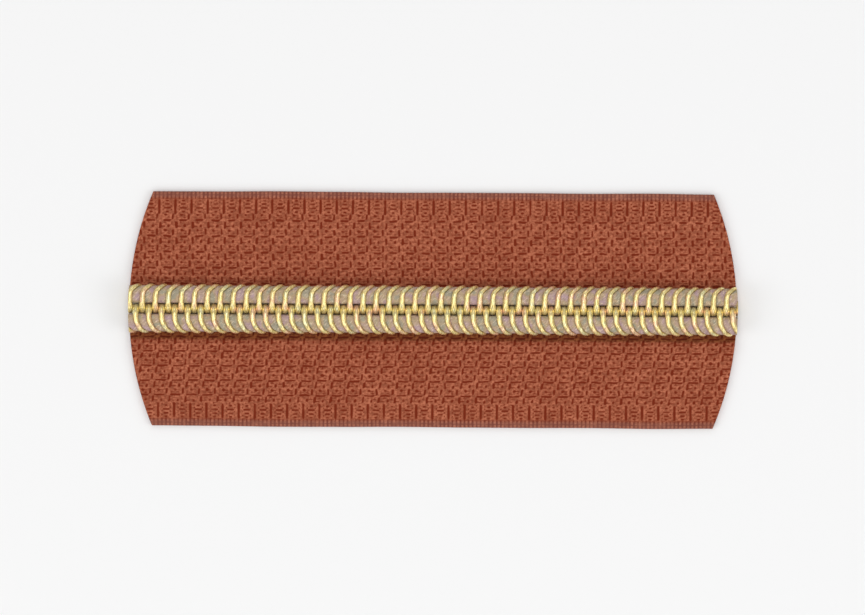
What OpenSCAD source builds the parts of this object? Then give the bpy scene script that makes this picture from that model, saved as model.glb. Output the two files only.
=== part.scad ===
// A closed length of coil zipper chain, size 5, cut out with a round cutter.
// X runs along the chain, Y across it and Z up. The coils are on the upper side.
// The origin is below the middle of the chain, at the height of the lowest thread.

/* [Outline] */
// Radius of the round cut that gives the length its two ends
cut_r = 38.8; // [25:0.1:60]
// Width of the two tapes together
chain_w = 30; // [26:0.5:40]

/* [Tape] */
// Thickness of the woven tape
tape_t = 0.55; // [0.4:0.05:0.6]
// Distance of each tape's inner edge from the centre line
tape_inner_y = 0.8; // [0.75:0.05:1]
// Distance of each tape's fold line from the centre line
fold_y = 3.6; // [3.6:0.05:4.5]
// Gap between the stitched strip and the rounded edge of the wing
fold_gap = 0.05; // [0.03:0.01:0.1]

/* [Coil] */
// Distance from one turn of a coil to the next
pitch = 1.652; // [1.64:0.002:1.68]
// Diameter of the coil's filament
filament_d = 0.65; // [0.6:0.01:0.66]
// Height of a coil
coil_h = 2.4; // [2.3:0.05:2.6]
// Distance of a coil's outer edge from the centre line
coil_outer_y = 3.23; // [3.15:0.01:3.25]
// How far the heads reach past the centre line
head_reach = 0.52; // [0.5:0.01:0.55]
// Width of the coupling bulge on each head
bulge_w = 0.94; // [0.88:0.01:0.96]
// Position along X of a turn of the rear coil near the middle
rear_phase = -0.66; // [-0.8:0.01:0.8]

/* [Core cord] */
// Distance of the core cord's inner edge from the centre line
core_inner_y = 0.73; // [0.7:0.01:0.8]
// Width of the core cord
core_w = 1.76; // [1.6:0.01:1.8]
// Height of the core cord
core_h = 1.04; // [0.9:0.01:1.06]

/* [Stitching] */
// Diameter of the sewing threads
thread_d = 0.24; // [0.2:0.01:0.26]
// Distance of the inner stitch row from the centre line
inner_row_y = 1.25; // [1.2:0.01:1.35]
// Distance of the outer stitch row from the centre line
outer_row_y = 2; // [1.8:0.01:2.05]
// How far the looper threads stand out below the tape
looper_proud = 0.1; // [0.05:0.01:0.15]

/* [Hidden] */
gold = "goldenrod";
tan_yarn = "tan";
brick = "sienna";

filament_r = filament_d / 2;
thread_r = thread_d / 2;
// Heights of the tape's faces, and of the filament in the legs below and above the core
tape_bottom = looper_proud;
tape_top = tape_bottom + tape_t;
low_z = tape_top + filament_r;
high_z = low_z + coil_h - filament_d;
mid_z = (low_z + high_z) / 2;
// The head is a half ring around the X direction, from the lower leg up to the upper one
head_r = (high_z - low_z) / 2;
head_y = head_r + filament_r - head_reach;
// The return is a half ring that also steps one pitch along the chain
return_r = norm([pitch / 2, head_r]);
return_y = coil_outer_y - filament_r - return_r;
return_tilt = atan2(pitch / 2, head_r);
// The filament is drawn a little thinner where it bends round the outer edge
return_step = 0.01;
// The bulge is a pair of cones on the head, narrow at their outer ends
bulge_root = 0.1;
bulge_tip_r = 0.12;
// Turn numbers on both sides of the middle. The first and last turn meet the round cut.
first_turn = -floor((cut_r + rear_phase) / pitch);
last_turn = floor((cut_r - filament_r - rear_phase) / pitch) - 1;
// The front coil's turns lie half a pitch further along than the rear one's
front_phase = rear_phase + pitch / 2;
// The needle threads run inside the core cord, just above the lower legs
needle_gap = 0.04;
needle_z = low_z + filament_r + thread_r + needle_gap;
// How far the round cutter reaches past the lowest and highest parts
cut_margin = 1;
cut_fn = 180;
round_fn = 32;

// Everything inside the round cut, for the parts that reach the ends
module round_cut() {
    translate([0, 0, -cut_margin])
        cylinder(h = high_z + filament_r + 2 * cut_margin, r = cut_r, $fn = cut_fn);
}

// Half of a filament ring around the X direction, on the -Y side of its middle
module half_ring(ring_r, wire_r) {
    rotate([0, 90, 0])
        difference() {
            rotate_extrude($fn = 2 * round_fn)
                translate([ring_r, 0])
                    circle(r = wire_r, $fn = round_fn);
            translate([-2 * ring_r, 0, -filament_d])
                cube([4 * ring_r, 2 * ring_r, 2 * filament_d]);
        }
}

module leg(z) {
    translate([0, head_y, z])
        rotate([-90, 0, 0])
            cylinder(h = return_y - head_y, r = filament_r, $fn = round_fn);
}

module bulge() {
    for (side = [0, 1])
        mirror([side, 0, 0])
            translate([bulge_root, head_y - head_r, mid_z])
                rotate([0, 90, 0])
                    cylinder(h = bulge_w / 2 - bulge_root, r1 = filament_r, r2 = bulge_tip_r, $fn = round_fn);
}

// Lower leg, head and upper leg of one turn, all at the same X
module element() {
    leg(low_z);
    leg(high_z);
    translate([0, head_y, mid_z])
        half_ring(head_r, filament_r);
    bulge();
}

// The curved stretch from an upper leg to the next turn's lower leg
module coil_return() {
    translate([pitch / 2, return_y, mid_z])
        rotate([0, -return_tilt, 0])
            mirror([0, 1, 0])
                half_ring(return_r, filament_r - return_step);
}

// A coil in the rear place, with its turns at phase + a whole number of pitches. Only the first turn
// can stick out of the round cut, so only that one is trimmed.
module coil(phase) {
    intersection() {
        translate([phase + first_turn * pitch, 0, 0]) {
            element();
            coil_return();
        }
        round_cut();
    }
    for (i = [first_turn + 1 : last_turn])
        translate([phase + i * pitch, 0, 0]) {
            element();
            coil_return();
        }
    translate([phase + (last_turn + 1) * pitch, 0, 0])
        element();
}

module core_cord() {
    intersection() {
        translate([-cut_r, core_inner_y + core_w / 2, mid_z])
            rotate([90, 0, 90])
                linear_extrude(height = 2 * cut_r)
                    stadium(core_w, core_h);
        round_cut();
    }
}

module stadium(w, h) {
    square([w - h, h], center = true);
    for (side = [-1, 1])
        translate([side * (w - h) / 2, 0])
            circle(d = h, $fn = round_fn);
}

// A slab of tape between two distances from the centre line
module tape(from_y, to_y) {
    intersection() {
        translate([-cut_r, from_y, tape_bottom])
            cube([2 * cut_r, to_y - from_y, tape_t]);
        round_cut();
    }
}

module tape_strip() {
    tape(tape_inner_y, fold_y - tape_t / 2 - fold_gap);
}

// The wing's inner edge is rounded about the fold line, so it turns without touching the strip
module tape_wing() {
    tape(fold_y, chain_w / 2);
    intersection() {
        along_x(fold_y, tape_bottom + tape_t / 2, tape_t / 2);
        round_cut();
    }
}

module along_x(y, z, r) {
    translate([-cut_r, y, z])
        rotate([0, 90, 0])
            cylinder(h = 2 * cut_r, r = r, $fn = round_fn);
}

// The needle thread passes over each lower leg and goes down through the tape beside it
module needle_thread(row_y, phase) {
    intersection() {
        along_x(row_y, needle_z, thread_r);
        round_cut();
    }
    for (i = [first_turn : last_turn])
        translate([phase + (i + 0.5) * pitch, row_y, thread_r])
            cylinder(h = needle_z - thread_r, r = thread_r, $fn = round_fn);
}

module looper_thread(row_y) {
    intersection() {
        along_x(row_y, thread_r, thread_r);
        round_cut();
    }
}

module front() {
    mirror([0, 1, 0])
        children();
}

module rear_coil() { color(gold) coil(rear_phase); }
module rear_core_cord() { color(tan_yarn) core_cord(); }
module rear_tape_strip() { color(brick) tape_strip(); }
module rear_tape_wing() { color(brick) tape_wing(); }
module rear_needle_thread_inner() { color(brick) needle_thread(inner_row_y, rear_phase); }
module rear_needle_thread_outer() { color(brick) needle_thread(outer_row_y, rear_phase); }
module rear_looper_thread_inner() { color(brick) looper_thread(inner_row_y); }
module rear_looper_thread_outer() { color(brick) looper_thread(outer_row_y); }
module front_coil() { color(gold) front() coil(front_phase); }
module front_core_cord() { color(tan_yarn) front() core_cord(); }
module front_tape_strip() { color(brick) front() tape_strip(); }
module front_tape_wing() { color(brick) front() tape_wing(); }
module front_needle_thread_inner() { color(brick) front() needle_thread(inner_row_y, front_phase); }
module front_needle_thread_outer() { color(brick) front() needle_thread(outer_row_y, front_phase); }
module front_looper_thread_inner() { color(brick) front() looper_thread(inner_row_y); }
module front_looper_thread_outer() { color(brick) front() looper_thread(outer_row_y); }

rear_coil();
rear_core_cord();
rear_tape_strip();
rear_tape_wing();
rear_needle_thread_inner();
rear_needle_thread_outer();
rear_looper_thread_inner();
rear_looper_thread_outer();
front_coil();
front_core_cord();
front_tape_strip();
front_tape_wing();
front_needle_thread_inner();
front_needle_thread_outer();
front_looper_thread_inner();
front_looper_thread_outer();
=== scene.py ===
"""Looks of a closed length of coil zipper chain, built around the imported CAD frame."""

import math

import bpy
import numpy as np
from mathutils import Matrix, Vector


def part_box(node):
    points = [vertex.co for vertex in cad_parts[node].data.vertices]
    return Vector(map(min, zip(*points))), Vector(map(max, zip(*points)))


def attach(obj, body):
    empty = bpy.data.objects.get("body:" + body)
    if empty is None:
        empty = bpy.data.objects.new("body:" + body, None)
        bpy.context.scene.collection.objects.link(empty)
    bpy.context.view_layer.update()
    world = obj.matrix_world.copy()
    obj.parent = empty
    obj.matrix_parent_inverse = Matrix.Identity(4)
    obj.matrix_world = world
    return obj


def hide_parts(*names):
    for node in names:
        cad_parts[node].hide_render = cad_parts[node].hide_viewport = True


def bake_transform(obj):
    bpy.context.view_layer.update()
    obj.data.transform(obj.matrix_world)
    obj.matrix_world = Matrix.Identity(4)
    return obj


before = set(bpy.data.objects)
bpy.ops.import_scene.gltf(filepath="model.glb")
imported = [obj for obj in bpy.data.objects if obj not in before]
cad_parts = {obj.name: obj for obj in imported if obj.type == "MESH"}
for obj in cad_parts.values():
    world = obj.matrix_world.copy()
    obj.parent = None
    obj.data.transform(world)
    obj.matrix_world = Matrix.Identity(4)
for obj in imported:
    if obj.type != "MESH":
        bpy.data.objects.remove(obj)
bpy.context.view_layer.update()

# Working unit: millimetres, in the frame's axes. make_mesh() turns them into metres.
MM = 0.001
SIDES = {"rear": 1, "front": -1}


def box_mm(node):
    low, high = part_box(node)
    return np.array(low) / MM, np.array(high) / MM


STRIP_LOW, STRIP_HIGH = box_mm("rear_tape_strip")
WING_HIGH = box_mm("rear_tape_wing")[1]
COIL_LOW, COIL_HIGH = box_mm("rear_coil")
CORE_LOW, CORE_HIGH = box_mm("rear_core_cord")
NEEDLE_LOW, NEEDLE_HIGH = box_mm("rear_needle_thread_inner")

# The round cut that shapes the two ends
CUT_R = math.hypot(CORE_HIGH[0], CORE_LOW[1])
TAPE_TOP, TAPE_BOTTOM = STRIP_HIGH[2], STRIP_LOW[2]
TAPE_INNER, TAPE_OUTER = STRIP_LOW[1], WING_HIGH[1]

# The coil, as in the CAD model
PITCH = 1.652
PHASE = {"rear": -0.66, "front": -0.66 + PITCH / 2}
FILAMENT_R = 0.325
MID_Z = (COIL_LOW[2] + COIL_HIGH[2]) / 2
LOOP_R = (COIL_HIGH[2] - COIL_LOW[2]) / 2 - FILAMENT_R
HEAD_Y = COIL_LOW[1] + FILAMENT_R + LOOP_R
OUTER_Y = COIL_HIGH[1] - FILAMENT_R - LOOP_R
THREAD_R = (NEEDLE_HIGH[1] - NEEDLE_LOW[1]) / 2
NEEDLE_Z = NEEDLE_HIGH[2] - THREAD_R


# ---------------------------------------------------------------- meshes

def make_mesh(name, points, faces, material, smooth=True, **attributes):
    """A mesh object from points in millimetres and a list of face arrays, one row per face.

    Each attribute holds one value per point.
    """
    mesh = bpy.data.meshes.new(name)
    faces = [np.asarray(f, np.int64) for f in faces if len(f)]
    corners = np.concatenate([f.ravel() for f in faces])
    sizes = np.concatenate([np.full(len(f), f.shape[1]) for f in faces])
    mesh.vertices.add(len(points))
    mesh.vertices.foreach_set("co", (np.asarray(points) * MM).astype(np.float32).ravel())
    mesh.loops.add(len(corners))
    mesh.loops.foreach_set("vertex_index", corners.astype(np.int32))
    mesh.polygons.add(len(sizes))
    starts = np.concatenate([[0], np.cumsum(sizes)[:-1]])
    mesh.polygons.foreach_set("loop_start", starts.astype(np.int32))
    mesh.polygons.foreach_set("use_smooth", np.full(len(sizes), smooth))
    mesh.update(calc_edges=True)
    for key, values in attributes.items():
        layer = mesh.attributes.new(key, "FLOAT", "POINT")
        layer.data.foreach_set("value", np.asarray(values, np.float32).ravel())
    mesh.materials.append(material)
    obj = bpy.data.objects.new(name, mesh)
    bpy.context.scene.collection.objects.link(obj)
    return obj


def grid_faces(index, flip=False):
    """Quads over a 2D array of point numbers."""
    a, b = index[:-1, :-1].ravel(), index[:-1, 1:].ravel()
    c, d = index[1:, 1:].ravel(), index[1:, :-1].ravel()
    quads = np.stack([a, b, c, d], 1)
    return quads[:, ::-1] if flip else quads


def tube_faces(rings, sides, flip=False):
    """Quads along a tube whose rings follow one another, and its two end caps."""
    index = np.arange(rings * sides).reshape(rings, sides)
    quads = grid_faces(np.hstack([index, index[:, :1]]), flip)
    first, last = index[:1, ::-1], index[-1:]
    caps = [c[:, ::-1] if flip else c for c in (first, last)]
    return [quads, *caps]


def cut_x(y):
    """How far along X the round cut is, at a distance y from the centre line."""
    return np.sqrt(CUT_R ** 2 - np.asarray(y) ** 2)


def inside_cut(points):
    """Points moved back along X onto the round cut where they stick out of it."""
    limit = cut_x(points[:, 1])
    points[:, 0] = np.clip(points[:, 0], -limit, limit)
    return points


def smooth_noise(shape, cells, seed):
    """Smooth random values from -1 to 1 on a grid, with about that many bumps each way."""
    rng = np.random.default_rng(seed)
    coarse = rng.uniform(-1, 1, (cells[0] + 3, cells[1] + 3))
    out = coarse
    for axis in (0, 1):
        where = np.linspace(0, cells[axis], shape[axis])
        base = np.floor(where).astype(int)
        t = where - base
        t = t * t * (3 - 2 * t)
        t = t[:, None] if axis == 0 else t[None, :]
        low, high = np.take(out, base, axis), np.take(out, base + 1, axis)
        out = low * (1 - t) + high * t
    return out


# ------------------------------------------------------------- materials

def linear(red, green, blue):
    """A display colour, 0 to 255, as the scene-linear colour that shaders take."""
    out = []
    for value in (red, green, blue):
        c = value / 255
        out.append(c / 12.92 if c <= 0.04045 else ((c + 0.055) / 1.055) ** 2.4)
    return (*out, 1)


BLACK = (0, 0, 0, 1)
GREY = (0.5, 0.5, 0.5, 1)
WHITE = (1, 1, 1, 1)


class Nodes:
    """A short way to write a material's node tree."""

    def __init__(self, name):
        self.material = bpy.data.materials.new(name)
        self.material.use_nodes = True
        self.tree = self.material.node_tree
        self.shader = self.tree.nodes["Principled BSDF"]

    def add(self, kind, inputs=None, **settings):
        node = self.tree.nodes.new(kind)
        for key, value in settings.items():
            setattr(node, key, value)
        for key, value in (inputs or {}).items():
            self.put(node.inputs[key], value)
        return node

    def put(self, socket, value):
        if isinstance(value, bpy.types.NodeSocket):
            self.tree.links.new(value, socket)
        else:
            socket.default_value = value

    def shade(self, **inputs):
        for key, value in inputs.items():
            self.put(self.shader.inputs[key.replace("_", " ")], value)

    def stretched(self, scale, turn=0.0):
        """Object coordinates turned about Z and scaled along each axis, in units of 1 mm / scale."""
        coords = self.add("ShaderNodeTexCoord").outputs["Object"]
        if turn:
            inputs = {"Vector": coords, "Rotation": (0, 0, turn)}
            coords = self.add("ShaderNodeMapping", inputs).outputs[0]
        sizes = tuple(s / MM for s in scale)
        return self.add("ShaderNodeMapping", {"Vector": coords, "Scale": sizes}).outputs[0]

    def noise(self, scale, detail=2.0, rough=0.5, turn=0.0):
        vector = self.stretched(scale, turn)
        inputs = {"Vector": vector, "Scale": 1.0, "Detail": detail, "Roughness": rough}
        return self.add("ShaderNodeTexNoise", inputs).outputs["Fac"]

    def spread(self, value, low, high, to_low=0.0, to_high=1.0):
        inputs = {"Value": value, "From Min": low, "From Max": high}
        inputs |= {"To Min": to_low, "To Max": to_high}
        return self.add("ShaderNodeMapRange", inputs).outputs[0]

    def attribute(self, name):
        return self.add("ShaderNodeAttribute", attribute_name=name).outputs["Fac"]

    def ramp(self, factor, *stops):
        node = self.add("ShaderNodeValToRGB", {"Fac": factor})
        while len(node.color_ramp.elements) < len(stops):
            node.color_ramp.elements.new(0.5)
        for element, (at, colour) in zip(node.color_ramp.elements, stops):
            element.position = at
            element.color = colour
        return node.outputs["Color"]

    def mix(self, kind, factor, one, other):
        node = self.add("ShaderNodeMix", data_type="RGBA", blend_type=kind)
        # The sockets of a colour mix: its factor and its two colours
        sockets = (node.inputs[0], node.inputs[6], node.inputs[7])
        for socket, value in zip(sockets, (factor, one, other)):
            self.put(socket, value)
        return node.outputs[2]

    def bump(self, height, strength, distance_mm):
        inputs = {"Height": height, "Strength": strength, "Distance": distance_mm * MM}
        return self.add("ShaderNodeBump", inputs).outputs[0]


def tape_material():
    """Woven polyester: light floats, gaps between them darkened with painted shade, fine filaments
    along each yarn.
    """
    n = Nodes("tape_weave")
    filaments = n.noise((1.2, 22, 8), 2.0)
    mottle = n.noise((2.7, 3.4, 2.5), 2.0, 0.65)
    patches = n.noise((0.3, 0.3, 0.3), 2.0)
    floats = n.ramp(
        mottle,
        (0.36, linear(150, 80, 55)), (0.5, linear(170, 95, 67)), (0.64, linear(194, 116, 86)),
    )
    strands = n.ramp(filaments, (0.3, linear(222, 216, 214)), (0.7, WHITE))
    floats = n.mix("MULTIPLY", 0.5, floats, strands)
    faded = n.ramp(patches, (0.35, linear(232, 222, 216)), (0.65, WHITE))
    floats = n.mix("MULTIPLY", 0.6, floats, faded)
    # Painted shade: the deeper a groove between floats, the more its colour goes to a dark red-brown
    painted_gap_shade = n.ramp(n.attribute("gap"), (0.1, BLACK), (0.32, GREY), (0.6, WHITE))
    woven = n.mix("MIX", painted_gap_shade, floats, linear(118, 38, 12))
    worn = n.mix("MIX", n.attribute("edge"), woven, linear(130, 104, 96))
    # Painted shade in the crease beside the coil, tinted yellow like light thrown back from the gold
    # coil
    n.shade(Base_Color=n.mix("MULTIPLY", n.attribute("crease_and_painted_shade"), worn, linear(190, 186, 138)))
    n.shade(Roughness=0.85, Sheen_Weight=0.04, Sheen_Roughness=0.5, Specular_IOR_Level=0.15)
    n.shade(Normal=n.bump(filaments, 0.3, 0.04))
    return n.material


def coil_material():
    """Metallised filament: pale gold film with streaks along the wire and a drift of hue."""
    n = Nodes("coil_gold")
    streaks = n.noise((8, 1.3, 3), 3.0)
    drift = n.noise((0.75, 0.75, 0.5), 1.5)
    warm = n.ramp(
        drift,
        (0.34, linear(236, 228, 180)), (0.44, linear(245, 225, 157)),
        (0.54, linear(251, 230, 166)), (0.64, linear(248, 211, 172)),
    )
    dulled = n.ramp(streaks, (0.35, linear(206, 196, 160)), (0.6, WHITE))
    film = n.mix("MULTIPLY", 0.7, warm, dulled)
    n.shade(Base_Color=film, Metallic=0.68)
    n.shade(Roughness=n.spread(streaks, 0.3, 0.7, 0.2, 0.34))
    n.shade(Normal=n.bump(streaks, 0.3, 0.03))
    return n.material


def core_material():
    """Tan multifilament yarn with mauve and grey-green patches and light flecks across it."""
    n = Nodes("core_yarn")
    fibres = n.noise((2.5, 12, 12), 3.0, 0.6)
    patches = n.noise((0.9, 0.7, 0.6), 1.5)
    flecks = n.noise((6.5, 1.8, 3), 2.0, 0.6, turn=0.75)
    yarn = n.ramp(
        patches,
        (0.36, linear(168, 161, 141)), (0.45, linear(193, 167, 133)),
        (0.54, linear(191, 163, 148)), (0.64, linear(187, 157, 163)),
    )
    shade = n.ramp(fibres, (0.25, linear(200, 194, 180)), (0.7, WHITE))
    yarn = n.mix("MULTIPLY", 0.8, yarn, shade)
    light = n.ramp(flecks, (0.54, BLACK), (0.7, (0.75, 0.75, 0.75, 1)))
    yarn = n.mix("MIX", light, yarn, linear(228, 208, 178))
    dim = n.ramp(flecks, (0.3, WHITE), (0.42, BLACK))
    n.shade(Base_Color=n.mix("MIX", dim, yarn, linear(150, 132, 108)))
    n.shade(Roughness=0.65, Sheen_Weight=0.1, Sheen_Roughness=0.4, Specular_IOR_Level=0.4)
    n.shade(Normal=n.bump(fibres, 0.6, 0.06))
    return n.material


def thread_material():
    """Sewing thread dyed to match the tape."""
    n = Nodes("sewing_thread")
    fibres = n.noise((9, 9, 9), 2.0)
    n.shade(Base_Color=n.ramp(fibres, (0.3, linear(128, 70, 50)), (0.7, linear(168, 100, 76))))
    n.shade(Roughness=0.6, Sheen_Weight=0.2, Specular_IOR_Level=0.4)
    return n.material


# ------------------------------------------------------------------ tape

# One repeat of the weave: 4 wefts along X and 3 warp rows across the tape
REPEAT_X = 2.06
REPEAT_Y = {"rear": 2.03, "front": 1.86}
WEAVE_SHEAR = {"rear": 0.02, "front": -0.1}
WEAVE_START = {"rear": (-8.04, -11.28), "front": (-7.07, 5.73)}
# Gaps between floats, as grooves in one repeat: from (u, v) to (u, v), depth, half width in mm.
# u runs along X and v towards -Y, both in repeats from the left end of the long gap.
GAPS = [
    (0.57, -0.01, 0.70, -0.04, 0.30, 0.08),
    (0.75, -0.40, 0.76, -0.13, 1.00, 0.12),
    (-0.04, 0.15, -0.05, 0.44, 1.00, 0.13),
    (0.25, -0.36, 0.27, -0.34, 1.00, 0.15),
    (0.30, -0.34, 0.54, -0.33, 0.50, 0.07),
    (0.48, 0.35, 0.48, 0.38, 1.00, 0.14),
    (0.50, 0.27, 0.49, 0.34, 0.45, 0.10),
    (0.00, 0.38, 0.24, 0.38, 0.55, 0.08),
    (0.16, 0.17, 0.34, 0.17, 0.45, 0.07),
    (0.62, 0.27, 0.80, 0.27, 0.45, 0.07),
    (0.08, -0.18, 0.22, -0.18, 0.40, 0.07),
    (0.40, -0.18, 0.58, -0.18, 0.45, 0.07),
    (0.02, -0.12, 0.02, -0.30, 0.40, 0.08),
    (0.50, -0.14, 0.50, -0.26, 0.30, 0.07),
    (0.24, 0.06, 0.24, 0.14, 0.35, 0.07),
    (0.72, 0.10, 0.72, 0.20, 0.40, 0.08),
]
# The longest gap of each side's weave, in the same form
LONG_GAP = {
    "rear": (0.20, 0.00, 0.57, 0.00, 1.00, 0.12),
    "front": (0.03, 0.00, 0.57, 0.00, 1.00, 0.10),
}
GAP_DEPTH = 0.1
# No two repeats lie quite alike: how far they wander, in repeats, and how uneven their depth is.
# Cells are how many bumps lie across and along the tape
WANDER, WANDER_CELLS, WANDER_SEEDS = 0.04, (20, 110), (21, 31)
UNEVEN, UNEVEN_CELLS, UNEVEN_SEED = 0.42, (24, 130), 41
# The selvedge, by distance from the outer edge: a band of ribs, then a band of long floats
EDGE_BAND = 1.0
FLOAT_BAND = 2.9
BAND_EASE = 0.1
EDGE_ROUND, EDGE_STEPS = 0.26, 6
RIBS_PER_REPEAT = 4
RIB_DEPTH = 0.72
# Grooves along the edge, through the ribs: distance from the edge and half width
EDGE_LINES = ((0.45, 0.06), (0.95, 0.08))
EDGE_LINE_DEPTH = 0.5
# Between the long floats, a groove across the band and rows of ticks, up to this distance
TALL_HALF = 0.14
MARKS_END, MARKS_END_EASE = 3.0, 0.15
TICK_PLACES = (0.25, 0.75)
TICK_HALF, TICK_DEPTH = 0.09, 0.7
TICK_START, TICK_STEP = 1.4, 0.48
# Dashes between them: distance from the edge, half length in repeats and depth
DASHES = ((1.2, 0.05, 0.7), (1.63, 0.1, 0.8), (2.13, 0.17, 0.8), (2.62, 0.04, 0.9))
DASH_HALF = 0.11
# The outer edge waves very slightly along its length: how far, how often, and from where on
WAVE, WAVE_BUMPS, WAVE_SEED = 0.06, 9, 3
WAVE_START, WAVE_EASE = 9, 6
# The crease beside the coil, which also bounds the painted shade in it: where it ends, over what
# distance, and how deep it is
CREASE_Y = {"rear": 3.6, "front": 3.9}
CREASE_EASE = 0.07
CREASE_DEPTH = 0.12
# How dark the painted shade in the crease beside the coil is
CREASE_PAINTED_SHADE = {"rear": 0.15, "front": 0.95}
# How worn the outer edge looks, and over what distance that fades in
EDGE_TONE, EDGE_TONE_EASE = 0.3, 0.4
# Spacing of the tape's mesh points across and along it, in mm
GRID = 0.09


def weave_repeat(side, n=72):
    """Groove depth from 0 to 1 over one repeat, indexed [v, u]."""
    v, u = np.meshgrid((np.arange(n) + 0.5) / n, (np.arange(n) + 0.5) / n, indexing="ij")
    open_part = np.ones((n, n))
    repeat_y = REPEAT_Y[side]
    for u0, v0, u1, v1, depth, half in [*GAPS, LONG_GAP[side]]:
        best = np.full((n, n), np.inf)
        along = np.array([(u1 - u0) * REPEAT_X, (v1 - v0) * repeat_y])
        length = max(float(along @ along), 1e-9)
        for shift_u in (-1, 0, 1):
            for shift_v in (-1, 0, 1):
                px = (u - u0 + shift_u) * REPEAT_X
                py = (v - v0 + shift_v) * repeat_y
                t = np.clip((px * along[0] + py * along[1]) / length, 0, 1)
                best = np.minimum(best, np.hypot(px - t * along[0], py - t * along[1]))
        open_part *= 1 - depth * np.exp(-((best / half) ** 2))
    return 1 - open_part


def sampled(table, u, v):
    """Values of a repeating table at fractional places, blended between its cells."""
    n = len(table)
    u, v = (u % 1) * n - 0.5, (v % 1) * n - 0.5
    iu, iv = np.floor(u).astype(int), np.floor(v).astype(int)
    fu, fv = u - iu, v - iv
    def at(a, b):
        return table[a % n, b % n]
    low = at(iv, iu) * (1 - fu) + at(iv, iu + 1) * fu
    high = at(iv + 1, iu) * (1 - fu) + at(iv + 1, iu + 1) * fu
    return low * (1 - fv) + high * fv


def ridge(distance, half):
    return np.exp(-((distance / half) ** 2))


def selvedge(x, edge):
    """Groove depth near the outer edge, where edge is the distance from it."""
    ribs = RIB_DEPTH * (0.5 + 0.5 * np.cos(2 * math.pi * x * RIBS_PER_REPEAT / REPEAT_X)) ** 2
    for at, half in EDGE_LINES:
        ribs = np.maximum(ribs, ridge(edge - at, half) * EDGE_LINE_DEPTH)
    u = x / REPEAT_X % 1
    inside = np.clip((edge - EDGE_BAND) / BAND_EASE, 0, 1)
    inside = inside * np.clip((MARKS_END - edge) / MARKS_END_EASE, 0, 1)
    tall = ridge(np.minimum(u, 1 - u) * REPEAT_X, TALL_HALF) * inside
    dashes = 0
    for at, half, deep in DASHES:
        across = np.clip(np.abs(u - 0.5) - half, 0, None) * REPEAT_X
        dashes = np.maximum(dashes, ridge(np.hypot(across, edge - at), DASH_HALF) * deep)
    ticks = np.maximum(*(ridge((u - at) * REPEAT_X, TICK_HALF) for at in TICK_PLACES))
    row = 2 * math.pi * (edge - TICK_START) / TICK_STEP
    ticks = TICK_DEPTH * ticks * (0.5 + 0.5 * np.cos(row)) ** 2
    floats = np.maximum(np.maximum(tall, dashes), ticks * inside)
    t = np.clip((edge - EDGE_BAND + BAND_EASE) / (2 * BAND_EASE), 0, 1)
    return ribs * (1 - t) + floats * t


def groove(side, x, y, table):
    """Groove depth over the whole tape, where y is the distance from the centre line."""
    down = -SIDES[side] * y
    start_x, start_down = WEAVE_START[side]
    start_down = -start_down if side == "front" else start_down
    v = (down - start_down) / REPEAT_Y[side]
    u = (x - start_x - WEAVE_SHEAR[side] * (down - start_down)) / REPEAT_X
    seed_u, seed_v = WANDER_SEEDS
    u = u + WANDER * smooth_noise(y.shape, WANDER_CELLS, seed_u + SIDES[side])
    v = v + WANDER * smooth_noise(y.shape, WANDER_CELLS, seed_v + SIDES[side])
    field = sampled(table, u, v)
    edge = TAPE_OUTER - y
    t = np.clip((edge - FLOAT_BAND + BAND_EASE) / (2 * BAND_EASE), 0, 1)
    uneven = 1.0 + UNEVEN * smooth_noise(y.shape, UNEVEN_CELLS, UNEVEN_SEED + SIDES[side])
    return np.clip((selvedge(x, edge) * (1 - t) + field * t) * uneven, 0, 1)


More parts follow.
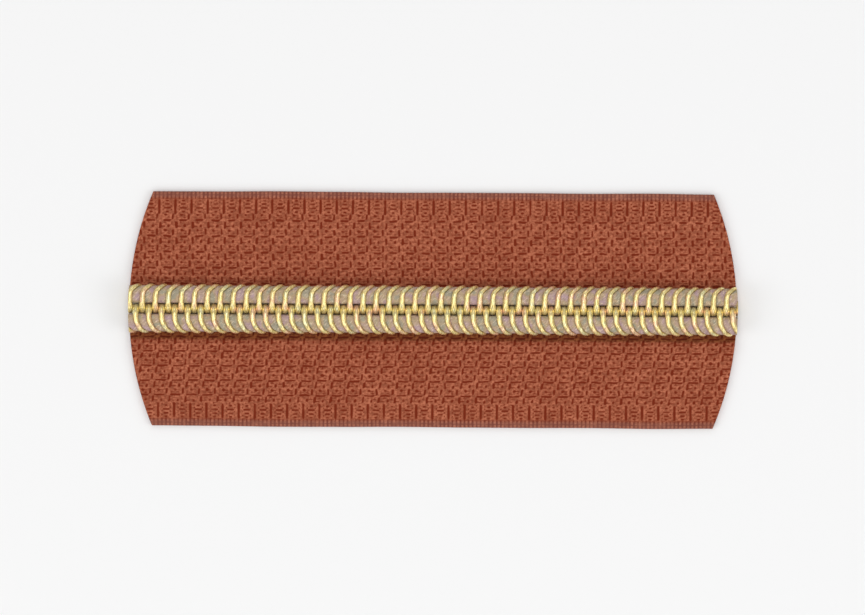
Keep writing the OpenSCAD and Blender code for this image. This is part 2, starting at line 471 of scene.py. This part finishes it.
def tape(side, material):
    """One woven sheet, drawn over the stitched strip and the wing."""
    rounding = EDGE_ROUND * (1 - np.cos(np.linspace(0, math.pi / 2, EDGE_STEPS)))[:-1]
    middle = np.arange(TAPE_INNER + EDGE_ROUND, TAPE_OUTER - EDGE_ROUND, GRID)
    rows = np.concatenate([TAPE_INNER + rounding, middle, (TAPE_OUTER - rounding)[::-1]])
    columns = int(2 * CUT_R / GRID)
    y = np.repeat(rows[:, None], columns, 1)
    x = np.linspace(-1, 1, columns)[None, :] * cut_x(rows)[:, None]
    wave = WAVE * smooth_noise((1, columns), (1, WAVE_BUMPS), WAVE_SEED)
    wave = wave * np.clip((y - WAVE_START) / WAVE_EASE, 0, 1)
    near = np.minimum(y - TAPE_INNER, TAPE_OUTER - y)
    lip = np.sqrt(np.clip(1 - np.clip(1 - near / EDGE_ROUND, 0, 1) ** 2, 0, 1))
    middle_z, half = (TAPE_TOP + TAPE_BOTTOM) / 2, (TAPE_TOP - TAPE_BOTTOM) / 2
    table = weave_repeat(side)
    gap_top = groove(side, x, y, table)
    gap_under = groove(side, x + REPEAT_X / 2, y + REPEAT_Y[side] / 3, table)
    # The coil's stitching pulls the tape down into a crease beside it, and the crease is also darkened
    # with painted shade
    crease_and_painted_shade = 1 / (1 + np.exp((y - CREASE_Y[side]) / CREASE_EASE))
    top = middle_z + lip * (half - GAP_DEPTH * gap_top - CREASE_DEPTH * crease_and_painted_shade)
    under = middle_z - lip * (half - GAP_DEPTH * gap_under)
    ny, nx = x.shape
    place_y = (y + wave) * SIDES[side]
    upper = np.stack([x, place_y, top], 2).reshape(-1, 3)
    lower = np.stack([x, place_y, under], 2)[1:-1].reshape(-1, 3)
    top_index = np.arange(ny * nx).reshape(ny, nx)
    low_index = top_index.copy()
    low_index[1:-1] = ny * nx + np.arange((ny - 2) * nx).reshape(ny - 2, nx)
    flip = SIDES[side] < 0
    faces = [grid_faces(top_index, flip), grid_faces(low_index, not flip)]
    for column, turned in ((0, flip), (nx - 1, not flip)):
        a, b = top_index[:, column], low_index[:, column]
        wall = np.stack([a[1:-2], a[2:-1], b[2:-1], b[1:-2]], 1)
        corners = np.array([[a[0], a[1], b[1]], [a[-1], b[-2], a[-2]]])
        faces += [wall[:, ::-1] if turned else wall, corners[:, ::-1] if turned else corners]
    inner = gap_under[1:-1]
    layers = {
        # Groove depth, which the material turns into painted shade in the gaps
        "gap": np.concatenate([gap_top.ravel(), inner.ravel()]),
        # Painted shade in the crease beside the coil, on the top face only
        "crease_and_painted_shade": np.concatenate([crease_and_painted_shade.ravel() * CREASE_PAINTED_SHADE[side], np.zeros(inner.size)]),
    }
    edge = EDGE_TONE * np.clip((EDGE_BAND - TAPE_OUTER + y) / EDGE_TONE_EASE, 0, 1)
    layers["edge"] = np.concatenate([edge.ravel(), edge[1:-1].ravel()])
    obj = make_mesh(side + "_tape", np.vstack([upper, lower]), faces, material, **layers)
    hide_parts(side + "_tape_strip", side + "_tape_wing")
    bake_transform(obj)
    return obj


# ------------------------------------------------------------------ coil

RING_SIDES = 28
STEPS = 64
STRAIGHT = OUTER_Y - HEAD_Y
HALF_LOOP = math.pi * LOOP_R
# The head is drawn out towards the other coil. The outer bend is a half circle
HEAD_LENGTH = LOOP_R + 0.08
HEAD_POWER = 1.9
CURVE_POINTS = 160
# How the wire steps along the chain: at a length past the start of the outer bend, the share of the
# pitch that is done
LEAN = {
    "rear": (
        (-STRAIGHT, 0), (-0.2, 0.03), (0.25, 0.11), (0.44, 0.19), (0.69, 0.34), (1.13, 0.57),
        (HALF_LOOP / 2, 0.68), (1.9, 0.84), (HALF_LOOP, 0.95), (HALF_LOOP + STRAIGHT, 1),
    ),
    "front": (
        (-STRAIGHT, 0), (-0.62, 0.03), (-0.3, 0.08), (0.2, 0.22), (0.76, 0.41), (1.13, 0.61),
        (HALF_LOOP / 2, 0.76), (1.6, 0.86), (1.9, 0.92), (HALF_LOOP, 0.97), (HALF_LOOP + STRAIGHT, 1),
    ),
}
# Over what length either way the steps are averaged, in how many samples, and how far their weight
# falls off towards the ends
LEAN_BLUR, LEAN_SAMPLES, LEAN_FALL = 0.22, 9, 0.9
SLOPE_STEP = 0.03
# How far past the round cut the wire's middle may run before the wire ends
CUT_SLACK = 0.24
# The wire is drawn thinner where it bends round the outer side, from this length on
OUTER_THIN, THIN_START, THIN_EASE = 0.15, 1.9, 1.6
# The coupling head: a flange each side of the wire. At lengths from the head's tip: its half width,
# and how far it reaches outwards and inwards from the wire's middle
FLANGE = ((0, 0.395, 0.33, 0.2), (0.35, 0.395, 0.33, 0.2), (0.65, 0.395, 0.25, 0.25),
          (1.0, 0.395, 0.12, 0.25), (1.35, 0.395, 0.08, 0.25), (1.55, 0.3, 0.08, 0.25))
FLANGE_POWER = 5
JOIN_POWER = 8
HEAD_SWELL, SWELL_LENGTH = 0.06, 0.6


def turn_profile():
    """One turn seen along the chain, from the head's tip over the top: lengths and points (y, z)."""
    angle = np.linspace(0, math.pi / 2, CURVE_POINTS)
    head = np.stack([-np.cos(angle) ** (2 / HEAD_POWER), np.sin(angle) ** (2 / HEAD_POWER)], 1)
    bend = np.stack([np.sin(angle), np.cos(angle)], 1)
    upper = np.vstack([head * [HEAD_LENGTH, LOOP_R] + [HEAD_Y, 0], bend * LOOP_R + [OUTER_Y, 0]])
    points = np.vstack([upper, upper[-2::-1] * [1, -1]])
    lengths = np.concatenate([[0], np.cumsum(np.linalg.norm(np.diff(points, axis=0), axis=1))])
    return lengths, points


PROFILE_LENGTHS, PROFILE = turn_profile()
TURN_LENGTH = PROFILE_LENGTHS[-1]
UPPER_BEND = TURN_LENGTH / 2 - HALF_LOOP / 2


def lean(side, s):
    """How far along the chain the wire has stepped, rounded off where the table's slope changes."""
    at, done = np.array(LEAN[side]).T
    blur = np.linspace(-LEAN_BLUR, LEAN_BLUR, LEAN_SAMPLES)
    weight = 1 + np.cos(math.pi * blur / LEAN_BLUR * LEAN_FALL)
    values = [w * np.interp(s - UPPER_BEND + b, at, done) for w, b in zip(weight, blur)]
    return PITCH * sum(values) / weight.sum()


def wire(side, s):
    """Centre line and outward normal at a length s along one turn, from the head's tip."""
    def at(lengths):
        lengths = lengths % TURN_LENGTH
        return np.stack([np.interp(lengths, PROFILE_LENGTHS, PROFILE[:, k]) for k in (0, 1)], -1)
    y, z = at(s).T
    along = at(s + SLOPE_STEP) - at(s - SLOPE_STEP)
    along /= np.linalg.norm(along, axis=1, keepdims=True)
    centre = np.stack([lean(side, s), y, z + MID_Z], -1)
    return centre, np.stack([np.zeros_like(s), -along[:, 1], along[:, 0]], -1)


def coil(side, material):
    """One filament through all the turns, with a flanged coupling head on each."""
    turns = int(CUT_R / PITCH) + 2
    s = np.arange(STEPS) * TURN_LENGTH / STEPS
    centre, normal = wire(side, s)
    first = np.arange(-turns, turns)
    shift = (PHASE[side] + first * PITCH)[:, None]
    path = np.repeat(centre[None], len(first), 0)
    path[:, :, 0] += shift
    path = path.reshape(-1, 3)
    normals = np.tile(normal, (len(first), 1))
    lengths = np.tile(s, len(first))
    # Keep the run of wire that lies inside the round cut
    out = np.flatnonzero(np.abs(path[:, 0]) > cut_x(path[:, 1]) + CUT_SLACK)
    low, high = out[out < len(path) // 2].max() + 1, out[out > len(path) // 2].min()
    path, normals, lengths = path[low:high], normals[low:high], lengths[low:high]
    tangent = np.gradient(path, axis=0)
    tangent /= np.linalg.norm(tangent, axis=1, keepdims=True)
    across = np.cross(tangent, normals)
    across /= np.linalg.norm(across, axis=1, keepdims=True)
    normals = np.cross(across, tangent)
    from_tip = np.minimum(lengths, TURN_LENGTH - lengths)[:, None]
    angle = (np.arange(RING_SIDES) * 2 * math.pi / RING_SIDES)[None]
    at, *sizes = np.array(FLANGE).T
    half, outwards, inwards = (np.interp(from_tip, at, values) for values in sizes)
    thick = np.where(np.sin(angle) > 0, outwards, inwards)
    wide, tall = np.abs(np.cos(angle) / half), np.abs(np.sin(angle) / thick)
    flange = (wide ** FLANGE_POWER + tall ** FLANGE_POWER) ** (-1 / FLANGE_POWER)
    swell = 1 + HEAD_SWELL * np.clip(1 - from_tip / SWELL_LENGTH, 0, 1)
    thin = np.clip((from_tip - THIN_START) / THIN_EASE, 0, 1)
    round_r = FILAMENT_R * swell * (1 - OUTER_THIN * thin * thin * (3 - 2 * thin))
    joined = (flange ** JOIN_POWER + round_r ** JOIN_POWER) ** (1 / JOIN_POWER)
    reach = np.where(from_tip < at[-1], joined, round_r)
    rings = path[:, None] + across[:, None] * (reach * np.cos(angle))[..., None]
    rings += normals[:, None] * (reach * np.sin(angle))[..., None]
    points = inside_cut(rings.reshape(-1, 3))
    points[:, 1] *= SIDES[side]
    faces = tube_faces(len(path), RING_SIDES, flip=SIDES[side] < 0)
    obj = make_mesh(side + "_filament", points, faces, material)
    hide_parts(side + "_coil")
    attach(obj, side + "_stringer")
    return obj


# ------------------------------------------------------------- core cord

CORE_INNER = 0.685
CORE_OUTER = 2.92
CORE_HALF_HEIGHT = 0.86
# How square the cord is towards the other side and away from it
INNER_POWER, OUTER_POWER = 4.0, 2.15
CORE_SIDES = 48
CORE_STEPS = 24
# The cord stops at this share of the wire's radius from the wire's middle
CORE_CLEAR = 0.92
RAY_STEPS = 40
WIRE_SAMPLES = 400
# Loose fibres lie in shallow twisted ribs, as shares of the cord's reach. Pinched places have none
CORD_RIBS, CORD_RIB_DEPTH, CORD_TWIST = 9, 0.018, 2.2
CORD_ROUGH, CORD_ROUGH_CELLS, CORD_ROUGH_SEED = 0.012, (300, 16), 11
CORD_PINCHED = 0.3


def core_ring(angle):
    """How far the slack cord would reach from its middle line, at an angle in the YZ plane."""
    half = (CORE_OUTER - CORE_INNER) / 2
    power = np.where(np.cos(angle) < 0, INNER_POWER, OUTER_POWER)
    wide, tall = np.abs(np.cos(angle) / half), np.abs(np.sin(angle) / CORE_HALF_HEIGHT)
    return (wide ** power + tall ** power) ** (-1 / power)


def core(side, material):
    """The cord swells between the turns and is pinched under them. One pitch is shaped and repeated."""
    angle = np.arange(CORE_SIDES) * 2 * math.pi / CORE_SIDES
    reach = core_ring(angle)
    axis_y = (CORE_OUTER + CORE_INNER) / 2
    s = np.linspace(0, TURN_LENGTH, WIRE_SAMPLES, endpoint=False)
    centre, _ = wire(side, s)
    wires = np.vstack([centre + [k * PITCH, 0, 0] for k in (-2, -1, 0, 1, 2)])
    x = np.arange(CORE_STEPS) * PITCH / CORE_STEPS
    radius = np.repeat(reach[None], CORE_STEPS, 0)
    direction = np.stack([np.cos(angle), np.sin(angle)], 1)
    clear = FILAMENT_R * CORE_CLEAR
    steps = np.linspace(0, 1, RAY_STEPS)
    for i in range(CORE_STEPS):
        for j in range(CORE_SIDES):
            far = steps * reach[j]
            y, z = axis_y + far * direction[j, 0], MID_Z + far * direction[j, 1]
            points = np.stack([np.full(RAY_STEPS, x[i]), y, z], 1)
            gap = np.sqrt(((points[:, None] - wires[None]) ** 2).sum(2)).min(1)
            blocked = np.flatnonzero(gap < clear)
            if len(blocked):
                radius[i, j] = far[max(blocked[0] - 1, 0)]
    # Round off the pinched places a little
    for _ in range(2):
        radius = np.minimum(radius, (np.roll(radius, 1, 0) + np.roll(radius, -1, 0) + 2 * radius) / 4)
    repeats = int(2 * CUT_R / PITCH) + 3
    whole = np.tile(radius, (repeats, 1))
    along = (np.arange(len(whole)) / CORE_STEPS - repeats // 2) * PITCH + PHASE[side]
    ribs = CORD_RIB_DEPTH * np.cos(CORD_RIBS * angle[None] - along[:, None] * CORD_TWIST)
    ribs = ribs + CORD_ROUGH * smooth_noise(whole.shape, CORD_ROUGH_CELLS, CORD_ROUGH_SEED)
    whole = whole * (1 + ribs * (whole > CORD_PINCHED))
    keep = np.abs(along) < CUT_R + PITCH / CORE_STEPS
    whole, along = whole[keep], along[keep]
    points = np.stack([
        np.repeat(along[:, None], CORE_SIDES, 1),
        axis_y + whole * direction[:, 0],
        MID_Z + whole * direction[:, 1],
    ], 2).reshape(-1, 3)
    points = inside_cut(points)
    points[:, 1] *= SIDES[side]
    faces = tube_faces(len(along), CORE_SIDES, flip=SIDES[side] > 0)
    obj = make_mesh(side + "_core", points, faces, material)
    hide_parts(side + "_core_cord")
    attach(obj, side + "_stringer")
    return obj


# --------------------------------------------------------------- threads

THREAD_SIDES = 9
PLIES = 3
PLY_DEPTH = 0.1
THREAD_TWIST = 9.0
# The drawn thread is this much slimmer than the CAD's
THREAD_SLIM = 0.85
STITCH_MARGIN = 0.9
SPAN_STEPS = 5
# How high the needle loops lie under the tape, in thread radii
LOOP_LIFT = 0.45
# The looper thread's open loops: steps in each, shift and swing along X, swing along Y and Z
LOOPER_STEPS = 28
LOOPER_SHIFT, LOOPER_X, LOOPER_Y = 0.34, 0.42, 0.17
LOOPER_LIFT, LOOPER_Z = 0.06, 0.04


def smooth_path(points, per_span):
    """A Catmull-Rom curve through points."""
    padded = np.vstack([2 * points[0] - points[1], points, 2 * points[-1] - points[-2]])
    p0, p1, p2, p3 = padded[:-3, None], padded[1:-2, None], padded[2:-1, None], padded[3:, None]
    t = (np.arange(per_span) / per_span)[None, :, None]
    curve = 0.5 * (2 * p1 + (p2 - p0) * t + (2 * p0 - 5 * p1 + 4 * p2 - p3) * t ** 2
                   + (3 * p1 - p0 - 3 * p2 + p3) * t ** 3)
    return np.vstack([curve.reshape(-1, 3), points[-1:]])


def thread_tube(name, path, radius, material):
    """A plied thread: three strands twisted together, swept along a path."""
    tangent = np.gradient(path, axis=0)
    tangent /= np.linalg.norm(tangent, axis=1, keepdims=True) + 1e-12
    normal = np.zeros_like(path)
    side = np.cross(tangent[0], [0.0, 1.0, 0.0])
    for i, along in enumerate(tangent):
        side = side - along * (side @ along)
        side /= np.linalg.norm(side) + 1e-12
        normal[i] = side
    binormal = np.cross(tangent, normal)
    gone = np.concatenate([[0], np.cumsum(np.linalg.norm(np.diff(path, axis=0), axis=1))])
    angle = np.arange(THREAD_SIDES) * 2 * math.pi / THREAD_SIDES
    ply = np.cos(PLIES * (angle[None] - gone[:, None] * THREAD_TWIST / PLIES))
    reach = radius * (1 - PLY_DEPTH + PLY_DEPTH * ply)
    rings = path[:, None] + normal[:, None] * (reach * np.cos(angle))[..., None]
    rings += binormal[:, None] * (reach * np.sin(angle))[..., None]
    faces = tube_faces(len(path), THREAD_SIDES, flip=True)
    return make_mesh(name, inside_cut(rings.reshape(-1, 3)), faces, material)


def stitch_places(side):
    """Where the needle goes down: midway between the turns, inside the round cut."""
    turns = int(CUT_R / PITCH) + 1
    places = PHASE[side] + (np.arange(-turns, turns) + 0.5) * PITCH
    return places[np.abs(places) < CUT_R - STITCH_MARGIN]


def needle_thread(side, row, row_y, material):
    """Over a lower leg inside the core, down through the tape, a small loop under it and up again."""
    under = TAPE_BOTTOM + THREAD_R * LOOP_LIFT
    bead = [
        (-0.08, 0, NEEDLE_Z), (-0.06, 0, TAPE_TOP), (-0.05, 0.03, TAPE_BOTTOM + 0.2),
        (0.2, 0.16, under), (0.55, 0.05, under), (0.5, -0.08, under), (0.2, -0.16, under),
        (0.05, -0.03, TAPE_BOTTOM + 0.2), (0.06, 0, TAPE_TOP), (0.08, 0, NEEDLE_Z),
    ]
    points = [np.array([x + dx, row_y + dy, z]) for x in stitch_places(side) for dx, dy, z in bead]
    path = smooth_path(np.array(points), SPAN_STEPS)
    path[:, 1] *= SIDES[side]
    return thread_tube(f"{side}_needle_{row}", path, THREAD_R * THREAD_SLIM, material)


def looper_thread(side, row, row_y, material):
    """A row of open loops on the underside, each passing through the next needle loop."""
    places = stitch_places(side)
    t = np.arange(0, len(places) - 1, 1 / LOOPER_STEPS)
    x = places[0] + PITCH * t + LOOPER_SHIFT + LOOPER_X * np.sin(2 * math.pi * t)
    y = row_y + LOOPER_Y * np.cos(2 * math.pi * t)
    z = TAPE_BOTTOM + LOOPER_LIFT + LOOPER_Z * np.sin(2 * math.pi * t)
    path = np.stack([x, y, z], 1)
    path[:, 1] *= SIDES[side]
    return thread_tube(f"{side}_looper_{row}", path, THREAD_R * THREAD_SLIM, material)


def stitching(side, material):
    """The four sewing threads of one side."""
    for row in ("inner", "outer"):
        low, high = box_mm(f"rear_needle_thread_{row}")
        row_y = (low[1] + high[1]) / 2
        for make, kind in ((needle_thread, "needle"), (looper_thread, "looper")):
            obj = make(side, row, row_y, material)
            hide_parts(f"{side}_{kind}_thread_{row}")
            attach(obj, side + "_stringer")


# ----------------------------------------------------------------- stage

# The view: straight down with a long lens, so wide at the tape's height, and turned a little
VIEW_WIDTH = 110.42
VIEW_CENTRE = (-0.06, 0.32)
VIEW_TURN_DEG = 0.36
CAMERA_DISTANCE = 600
SENSOR = 36
CLIP_M = (0.01, 10)
FLOOR_HALF = 600
FLOOR_COLOUR = (0.89, 0.89, 0.89, 1)
# The lights, aimed at the middle of the chain: name, place and size in metres, watts
LIGHTS = (
    ("top", (0.0, 0.02, 0.90), (0.4, 0.4), 2.0),
    ("left", (-0.50, -0.16, 0.36), (0.35, 0.35), 0.8),
    ("right", (0.50, -0.16, 0.36), (0.35, 0.35), 0.8),
    ("front", (0.0, -0.50, 0.36), (0.5, 0.25), 0.6),
    ("back", (0.0, 0.50, 0.40), (0.5, 0.25), 0.45),
)
WORLD_STRENGTH = 0.46


def camera():
    data = bpy.data.cameras.new("camera")
    data.sensor_width = SENSOR
    data.lens = SENSOR * CAMERA_DISTANCE / VIEW_WIDTH
    data.clip_start, data.clip_end = CLIP_M
    obj = bpy.data.objects.new("camera", data)
    obj.location = Vector((*VIEW_CENTRE, TAPE_TOP + CAMERA_DISTANCE)) * MM
    obj.rotation_euler = (0, 0, math.radians(VIEW_TURN_DEG))
    bpy.context.scene.collection.objects.link(obj)
    bpy.context.scene.camera = obj


def area_light(name, place, size, watts):
    data = bpy.data.lights.new(name, "AREA")
    data.shape = "RECTANGLE"
    data.size, data.size_y = size
    data.energy = watts
    obj = bpy.data.objects.new(name, data)
    obj.location = place
    obj.rotation_euler = (-Vector(place)).to_track_quat("-Z", "Y").to_euler()
    bpy.context.scene.collection.objects.link(obj)


def floor_material():
    n = Nodes("floor")
    n.shade(Base_Color=FLOOR_COLOUR, Roughness=0.9, Specular_IOR_Level=0.2)
    return n.material


def stage():
    corners = FLOOR_HALF * np.array([(-1, -1, 0), (1, -1, 0), (1, 1, 0), (-1, 1, 0)])
    floor = make_mesh("floor", corners, [np.array([[0, 1, 2, 3]])], floor_material(), smooth=False)
    for light in LIGHTS:
        area_light(*light)
    world = bpy.data.worlds.new("studio")
    world.use_nodes = True
    background = world.node_tree.nodes["Background"]
    background.inputs["Color"].default_value = WHITE
    background.inputs["Strength"].default_value = WORLD_STRENGTH
    bpy.context.scene.world = world
    bpy.context.scene.view_settings.view_transform = "Standard"


camera()
stage()
TAPE, GOLD, YARN, THREAD = tape_material(), coil_material(), core_material(), thread_material()
for side_name in SIDES:
    tape(side_name, TAPE)
    coil(side_name, GOLD)
    core(side_name, YARN)
    stitching(side_name, THREAD)
